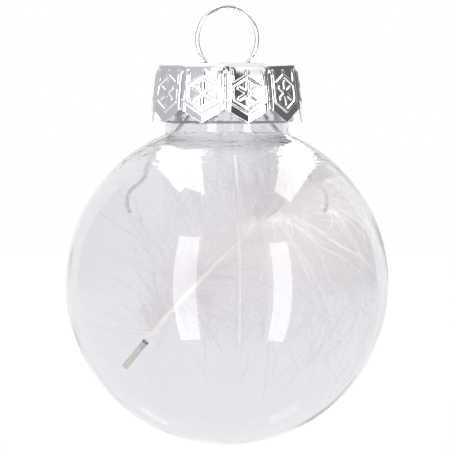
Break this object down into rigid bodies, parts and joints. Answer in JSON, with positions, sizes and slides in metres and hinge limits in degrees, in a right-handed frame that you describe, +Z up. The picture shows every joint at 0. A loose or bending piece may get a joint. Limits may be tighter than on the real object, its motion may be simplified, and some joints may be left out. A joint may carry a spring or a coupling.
{
  "type": "ball ornament",
  "caption": "Clear hanging ball with a pressed crown cap, a split hanging ring, a wire spring clip and a loose white feather inside.",
  "frame": {"origin": "hanging point: inside of the ring's top, on the ball's axis", "axes": "+Z up along the ball's axis, -Y towards the front, the ring lies in the XZ plane"},
  "size_m": [0.08, 0.08, 0.109],
  "materials": {
    "clear_shell": "polished",
    "pressed_sheet": "polished",
    "ring_wire": "polished",
    "clip_wire": "gloss",
    "quill": "satin",
    "quill_end": "satin",
    "down": "matte"
  },
  "bodies": {
    "ring": {"hanging_ring": "ring_wire"},
    "cap": {"crown_cap": "pressed_sheet", "spring_clip": "clip_wire"},
    "ball": {"ball_shell": "clear_shell"},
    "feather": {"feather_shaft": "quill", "feather_calamus": "quill_end", "down_upper": "down", "down_lower": "down"}
  },
  "joints": [
    {"name": "ring_swing", "type": "hinge", "parent": "ring", "child": "cap", "pos_m": [0, 0, -0.01545], "axis": [1, 0, 0], "range_deg": [-40, 40]},
    {"name": "ball_pull_off", "type": "slide", "parent": "cap", "child": "ball", "axis": [0, 0, -1], "range_m": [0, 0.048], "deforming": ["spring_clip"]},
    {"name": "feather_turn", "type": "hinge", "parent": "ball", "child": "feather", "pos_m": [0, 0, -0.0679], "axis": [0, 0, 1], "range_deg": [-1, 140]}
  ]
}
